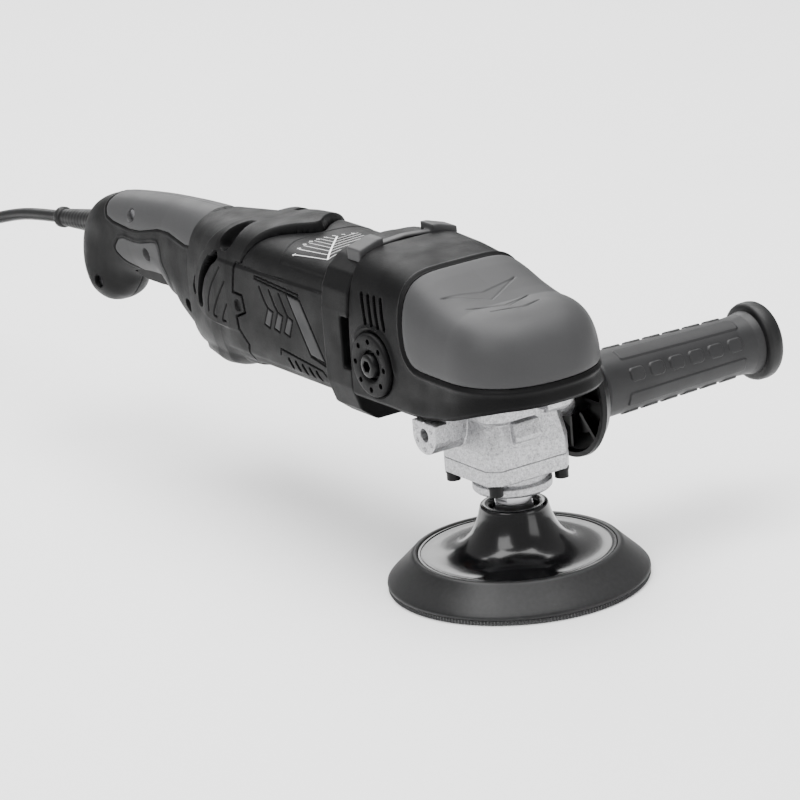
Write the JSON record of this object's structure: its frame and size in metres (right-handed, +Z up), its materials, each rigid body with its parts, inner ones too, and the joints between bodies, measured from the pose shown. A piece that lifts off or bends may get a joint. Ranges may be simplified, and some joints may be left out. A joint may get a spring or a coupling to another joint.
{
  "type": "car polisher",
  "caption": "Corded car polisher with a round backing plate, bevel gear head, palm rest, side handle, long motor body and D-shaped rear grip.",
  "frame": {"origin": "centre of the backing plate's underside, on the spindle axis", "axes": "+Z up along the spindle, +Y from the nose towards the rear grip and cord, +X towards the side handle"},
  "size_m": [0.3385, 0.785, 0.1892],
  "materials": {
    "black_plastic": "moulded matte, fine spark texture",
    "grey_grip": "soft-touch overmould, satin",
    "dark_grip": "soft-touch overmould, satin",
    "black_rubber": "moulded rubber, satin",
    "cord_rubber": "round sheathed cord, satin",
    "plug_plastic": "moulded, satin",
    "cast_aluminium": "bead-blasted casting",
    "gloss_black": "glossy moulding",
    "hook_fabric": "woven hook layer",
    "steel": "turned and blackened in places",
    "bronze": "turned",
    "copper": "enamelled wire and copper bars",
    "carbon": "pressed carbon",
    "board": "circuit board with potted parts"
  },
  "bodies": {
    "housing": {"gear_housing": "cast_aluminium", "bearing_flange": "cast_aluminium", "gear_head_screws": "steel", "flange_washers": "steel", "hood": "black_plastic", "palm_rest": "grey_grip", "hood_discs": "black_plastic", "hood_bolts": "steel", "motor_housing": "black_plastic", "front_collar": "black_plastic", "top_bumper": "grey_grip", "front_bearing": "steel", "rear_bearing": "steel", "stator_core": "steel", "field_windings": "copper", "brush_holders": "black_plastic", "carbon_brushes": "carbon", "brush_springs": "steel", "bearing_bracket": "black_plastic", "rear_cover": "black_plastic", "handle_shell_left": "black_plastic", "handle_shell_right": "black_plastic", "handle_grip_left": "grey_grip", "handle_grip_right": "grey_grip", "handle_screws": "steel", "control_pins": "steel", "switch_unit": "black_plastic", "speed_board": "board", "spindle_bearing": "steel", "spindle_seal": "black_rubber", "spindle_top_bush": "bronze", "side_handle_stud": "steel", "side_handle_guard": "black_plastic", "side_handle_core": "black_plastic", "side_handle_grip": "dark_grip", "side_handle_cap": "black_rubber", "cord_boot": "black_rubber", "cord_lead": "cord_rubber", "cord_coil": "cord_rubber", "cord_tail": "cord_rubber", "plug_body": "plug_plastic", "plug_pins": "bronze"},
    "spindle_assembly": {"spindle": "steel", "crown_gear": "steel", "plate_nut": "steel", "plate_hub": "gloss_black", "plate_skirt": "black_rubber", "hook_face": "hook_fabric"},
    "armature": {"armature_shaft": "steel", "armature_core": "steel", "armature_windings": "copper", "commutator": "copper", "cooling_fan": "black_plastic", "bevel_pinion": "steel"},
    "trigger_lever": {"trigger": "black_plastic", "trigger_spring": "steel"},
    "lock_on": {"lock_on_button": "black_plastic", "lock_on_spring": "steel"},
    "dial": {"speed_dial": "black_plastic"},
    "spindle_lock_pin": {"spindle_lock": "steel"}
  },
  "joints": [
    {"name": "spindle_spin", "type": "hinge", "parent": "housing", "child": "spindle_assembly", "pos_m": [0, 0, 0], "axis": [0, 0, 1], "continuous": true},
    {"name": "armature_spin", "type": "hinge", "parent": "housing", "child": "armature", "pos_m": [0, 0, 0.13], "axis": [0, 1, 0], "continuous": true},
    {"name": "trigger_press", "type": "hinge", "parent": "housing", "child": "trigger_lever", "pos_m": [0, 0.338, 0.1135], "axis": [1, 0, 0], "range_deg": [0, 7], "stiffness_Nm_per_rad": 1.5, "springref_deg": -11.46},
    {"name": "lock_on_press", "type": "slide", "parent": "housing", "child": "lock_on", "axis": [-1, 0, 0], "range_m": [0, 0.0026], "stiffness_N_per_m": 400, "springref_m": -0.004},
    {"name": "speed_dial_turn", "type": "hinge", "parent": "housing", "child": "dial", "pos_m": [0, 0.4415, 0.1], "axis": [1, 0, 0], "range_deg": [-140, 140]},
    {"name": "spindle_lock_press", "type": "slide", "parent": "housing", "child": "spindle_lock_pin", "axis": [0, 1, 0], "range_m": [0, 0.0045], "stiffness_N_per_m": 600, "springref_m": -0.004}
  ],
  "couplings": [
    {"joint": "armature_spin", "follows": "spindle_spin", "ratio": 3}
  ]
}
